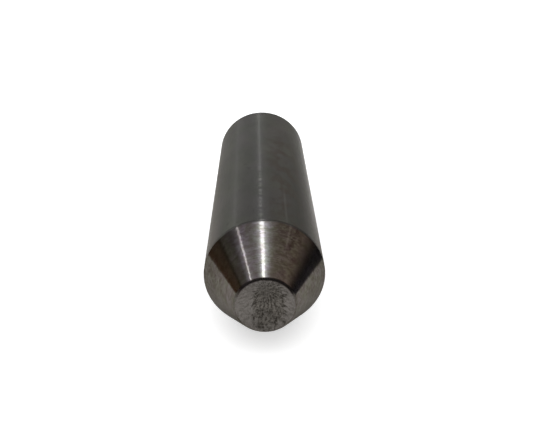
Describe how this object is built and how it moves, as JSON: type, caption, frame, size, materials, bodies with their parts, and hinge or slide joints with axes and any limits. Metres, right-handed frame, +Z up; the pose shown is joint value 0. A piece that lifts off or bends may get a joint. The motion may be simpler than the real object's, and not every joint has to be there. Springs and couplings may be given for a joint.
{
  "type": "live center",
  "caption": "Revolving lathe centre with a straight shank and a blunt 60 degree point that turns on needle, thrust and ball bearings.",
  "frame": {"origin": "on the spin axis, in the plane of the housing's front face, where the shank begins", "axes": "+Y along the spin axis from the point towards the rear of the shank, so the point looks towards -Y; +Z up, with the circlip gaps upward"},
  "size_m": [0.032, 0.1101, 0.032],
  "materials": {
    "shank_steel": "fine ground, dull grey",
    "point_steel": "hardened, fine turned and half polished",
    "race_steel": "ground and lapped bearing steel",
    "rolling_steel": "mirror polished",
    "pressed_steel": "drawn sheet steel",
    "spring_steel": "dark phosphated spring steel",
    "blackened_steel": "black oxide",
    "plug_steel": "turned, as machined",
    "cage_brass": "machined brass",
    "cage_nylon": "natural glass-filled nylon",
    "nitrile_rubber": "moulded black nitrile"
  },
  "bodies": {
    "housing_group": {"housing": "shank_steel", "seal_case": "pressed_steel", "seal_lip": "nitrile_rubber", "front_circlip": "spring_steel", "needle_outer_ring": "race_steel", "middle_circlip": "spring_steel", "thrust_housing_washer": "race_steel", "rear_outer_ring": "race_steel", "spacer_sleeve": "plug_steel", "end_plug": "plug_steel", "end_plug_o_ring": "nitrile_rubber", "grease_screw": "blackened_steel"},
    "spindle_group": {"point_spindle": "point_steel", "thrust_shaft_washer": "race_steel", "rear_inner_ring": "race_steel", "lock_washer": "pressed_steel", "lock_nut": "blackened_steel"},
    "needle_cage_group": {"needle_cage": "pressed_steel", "needle_rollers": "rolling_steel"},
    "thrust_cage_group": {"thrust_ball_cage": "cage_brass", "thrust_balls": "rolling_steel"},
    "rear_cage_group": {"rear_ball_cage": "cage_nylon", "rear_balls": "rolling_steel"}
  },
  "joints": [
    {"name": "point_spin", "type": "hinge", "parent": "housing_group", "child": "spindle_group", "pos_m": [0, 0, 0], "axis": [0, 1, 0], "continuous": true},
    {"name": "needle_cage_spin", "type": "hinge", "parent": "housing_group", "child": "needle_cage_group", "pos_m": [0, 0.0144, 0], "axis": [0, 1, 0], "continuous": true},
    {"name": "thrust_cage_spin", "type": "hinge", "parent": "housing_group", "child": "thrust_cage_group", "pos_m": [0, 0.0305, 0], "axis": [0, 1, 0], "continuous": true},
    {"name": "rear_cage_spin", "type": "hinge", "parent": "housing_group", "child": "rear_cage_group", "pos_m": [0, 0.067, 0], "axis": [0, 1, 0], "continuous": true}
  ],
  "couplings": [
    {"joint": "needle_cage_spin", "follows": "point_spin", "ratio": 0.43902},
    {"joint": "thrust_cage_spin", "follows": "point_spin", "ratio": 0.5},
    {"joint": "rear_cage_spin", "follows": "point_spin", "ratio": 0.39867}
  ]
}
